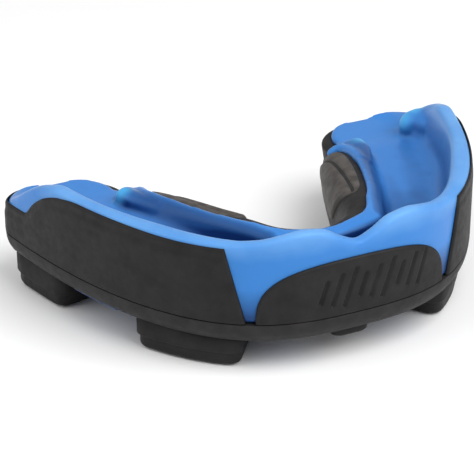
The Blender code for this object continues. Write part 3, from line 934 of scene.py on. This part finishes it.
def mark_painted_light(obj):
    """Store how near each point is to the thin ends, as a colour attribute for the painted highlight where
    light would pass through.
    """
    store(obj.data, "painted_light", nearness(obj.data, PAINTED_LIGHT_SPOTS, PAINTED_LIGHT_REACH, power=2))


def principled(name, colour, roughness):
    """A new material and its shader."""
    material = bpy.data.materials.new(name)
    material.use_nodes = True
    shader = material.node_tree.nodes["Principled BSDF"]
    shader.inputs["Base Color"].default_value = colour
    shader.inputs["Roughness"].default_value = roughness
    return material, shader


def node(tree, kind, **inputs):
    """A shader node with its named inputs set to a value or linked from an output."""
    made = tree.nodes.new(kind)
    for key, value in inputs.items():
        connect(tree, value, made.inputs[key.replace("_", " ")])
    return made


def connect(tree, value, socket):
    if isinstance(value, bpy.types.NodeSocket):
        tree.links.new(value, socket)
    else:
        socket.default_value = value


def object_point(tree):
    return tree.nodes.new("ShaderNodeTexCoord").outputs["Object"]


def noise(tree, scale, detail=3.0, roughness=0.55):
    made = node(tree, "ShaderNodeTexNoise", Vector=object_point(tree), Scale=scale, Detail=detail,
                Roughness=roughness)
    return made.outputs["Fac"]


def stored(tree, attribute):
    """The number that store() kept under a name."""
    made = tree.nodes.new("ShaderNodeAttribute")
    made.attribute_name = attribute
    return made.outputs["Fac"]


def ramp(tree, factor, stops):
    """A colour ramp through (position, colour) stops."""
    made = node(tree, "ShaderNodeValToRGB", Fac=factor)
    elements = made.color_ramp.elements
    while len(elements) < len(stops):
        elements.new(0.5)
    for element, (position, colour) in zip(elements, stops):
        element.position = position
        element.color = colour
    return made.outputs["Color"]


def grey_level(level):
    return level, level, level, 1.0


def grey_ramp(tree, factor, start, end):
    """A ramp between two (position, grey level) stops."""
    return ramp(tree, factor, [(position, grey_level(level)) for position, level in (start, end)])


def mixed(tree, factor, first, second):
    """A mix of two colours. A Mix node's colours are its sockets 6 and 7, and output 2 is their mix."""
    made = tree.nodes.new("ShaderNodeMix")
    made.data_type = "RGBA"
    tree.links.new(factor, made.inputs[0])
    connect(tree, first, made.inputs[6])
    connect(tree, second, made.inputs[7])
    return made.outputs[2]


def grain(tree, shader, scale, strength, distance):
    """Fine moulding texture on a surface."""
    bump = node(tree, "ShaderNodeBump", Strength=strength, Distance=distance * MM,
                Height=noise(tree, scale, detail=2.0))
    tree.links.new(bump.outputs["Normal"], shader.inputs["Normal"])


def clouded_height(tree, low, high, cloud_scale, cloud_lift):
    """0 at the height low and 1 at high, in millimetres, with clouds that raise it here and there."""
    height = node(tree, "ShaderNodeSeparateXYZ", Vector=object_point(tree)).outputs["Z"]
    lifted = tree.nodes.new("ShaderNodeMath")
    lifted.operation = "MULTIPLY_ADD"
    connect(tree, noise(tree, cloud_scale, detail=2.0), lifted.inputs[0])
    connect(tree, cloud_lift * MM, lifted.inputs[1])
    connect(tree, height, lifted.inputs[2])
    level = node(tree, "ShaderNodeMapRange", Value=lifted.outputs[0], From_Min=low * MM,
                 From_Max=high * MM)
    return level.outputs["Result"]


def gel_material():
    """Blue gel: pale at its thin rim and darker low down, which is painted shade. Painted shade also lies
    in its recesses and on the lip, where it is partly the black rubber showing through, and a painted
    highlight lies at its thin tips.
    """
    material, shader = principled("soft_gel", GEL_MIDDLE, roughness=0.3)
    tree = material.node_tree
    # A height ramp: darker low down as painted shade, paler at the thin rim, with clouds that vary it.
    level = clouded_height(tree, low=6.5, high=21.5, cloud_scale=160.0, cloud_lift=3.5)
    body = ramp(tree, level, [(0.25, GEL_LOW_PAINTED_SHADE), (0.5, GEL_MIDDLE), (0.75, GEL_MIDDLE), (1.0, GEL_RIM)])
    # Painted shade where the gel is enclosed, and along the lip.
    hidden = grey_ramp(tree, stored(tree, "painted_shade"), (0.24, 0.0), (0.6, 1.0))
    # Painted highlight at the thin tips.
    lit = grey_ramp(tree, stored(tree, "painted_light"), (0.1, 0.0), (1.0, 0.85))
    colour = mixed(tree, lit, mixed(tree, hidden, body, GEL_PAINTED_SHADE), GEL_PAINTED_LIGHT)
    tree.links.new(colour, shader.inputs["Base Color"])
    roughness = grey_ramp(tree, noise(tree, scale=420.0, detail=1.0), (0.0, 0.25), (1.0, 0.39))
    tree.links.new(roughness, shader.inputs["Roughness"])
    grain(tree, shader, scale=260.0, strength=0.15, distance=0.06)
    shader.inputs["Subsurface Weight"].default_value = 0.25
    shader.inputs["Subsurface Radius"].default_value = (0.25, 0.6, 1.0)
    shader.inputs["Subsurface Scale"].default_value = 0.0015
    shader.inputs["Specular IOR Level"].default_value = 0.4
    shader.inputs["Specular Tint"].default_value = (0.3, 0.56, 1.0, 1.0)
    return material


def rubber_material(name, colours, scale):
    """Matte rubber, mottled between two colours, with a fine moulded grain."""
    material, shader = principled(name, colours[0], roughness=0.55)
    tree = material.node_tree
    mottle = ramp(tree, noise(tree, scale, detail=5.0), [(0.35, colours[0]), (0.68, colours[1])])
    tree.links.new(mottle, shader.inputs["Base Color"])
    roughness = grey_ramp(tree, noise(tree, scale=900.0), (0.3, 0.5), (0.7, 0.64))
    tree.links.new(roughness, shader.inputs["Roughness"])
    grain(tree, shader, scale=5200.0, strength=0.35, distance=0.03)
    shader.inputs["Specular IOR Level"].default_value = 0.22
    return material


def dress(obj, slot, *nodes):
    """Fix a piece to the frame, in place of CAD nodes. Its material slot is not used."""
    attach(obj, "root")
    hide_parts(*nodes)


def make_floor():
    half = FLOOR_HALF_WIDTH
    plan = ((-half, -half), (half, -half), (half, half), (-half, half))
    mesh = bpy.data.meshes.new("floor")
    mesh.from_pydata([(x * MM, y * MM, -FLOOR_DROP * MM) for x, y in plan], [], [(0, 1, 2, 3)])
    material, _ = principled("pale_floor", grey_level(0.93), roughness=0.8)
    mesh.materials.append(material)
    obj = bpy.data.objects.new("floor", mesh)
    bpy.context.scene.collection.objects.link(obj)


def make_camera():
    """A camera aimed in the guard's own lie, in front of it, to its left and above."""
    yaw = math.radians(-25.8)
    elevation = math.radians(28.0)
    target = Vector((-5.42, 25.2, 0.0))
    distance = 287.7
    level = math.cos(elevation)
    back = Vector((math.sin(yaw) * level, -math.cos(yaw) * level, math.sin(elevation)))
    right = Vector((math.cos(yaw), math.sin(yaw), 0))
    up = back.cross(right)
    turn = Matrix((right, up, back)).transposed().to_4x4()
    lie = Matrix.Rotation(TILT, 4, "X")
    data = bpy.data.cameras.new("camera")
    data.sensor_width = 36
    data.lens = 159.5
    data.clip_start = 0.01
    camera = bpy.data.objects.new("camera", data)
    bpy.context.scene.collection.objects.link(camera)
    camera.matrix_world = Matrix.Translation(STAND @ (target + back * distance)) @ lie @ turn
    bpy.context.scene.camera = camera


def area_light(name, place, size, power):
    """A square lamp at a place in metres, aimed at the guard."""
    data = bpy.data.lights.new(name, "AREA")
    data.size = size
    data.energy = power
    light = bpy.data.objects.new(name, data)
    light.location = place
    light.rotation_euler = (LIGHT_AIM - Vector(place)).to_track_quat("-Z", "Y").to_euler()
    bpy.context.scene.collection.objects.link(light)


def make_lights():
    world = bpy.data.worlds.new("studio")
    world.use_nodes = True
    background = world.node_tree.nodes["Background"]
    background.inputs["Color"].default_value = (1, 1, 1, 1)
    background.inputs["Strength"].default_value = 0.44
    bpy.context.scene.world = world
    bpy.context.scene.view_settings.view_transform = "Standard"
    area_light("key", (0.12, -0.24, 0.34), size=0.4, power=2.0)
    area_light("fill", (-0.3, 0.1, 0.25), size=0.4, power=0.7)


def main():
    make_floor()
    make_camera()
    make_lights()
    gel = gel_material()
    black = rubber_material("black_rubber", BLACK, scale=300.0)
    # A lighter copy of the black rubber for the sole, as painted light from the floor.
    sole = rubber_material("sole_rubber_painted_light", SOLE_BLACK_PAINTED_LIGHT, scale=360.0)
    grey = rubber_material("grey_rubber", GREY, scale=480.0)
    dress(make_gel(gel), "gel_blue", "gel_liner")
    dress(make_sole(sole), "rubber_black", "sole_frame")
    dress(front_plate(black), "rubber_black", "front_plate")
    for label, side in SIDES:
        dress(cheek_plate("cheek_guard_" + label, side, black), "rubber_black", "cheek_plate_" + label)
        dress(palate_insert("palate_grip_" + label, side, grey), "rubber_grey", "palate_plate_" + label)
    make_pads(black)
    make_inlays(gel)


main()
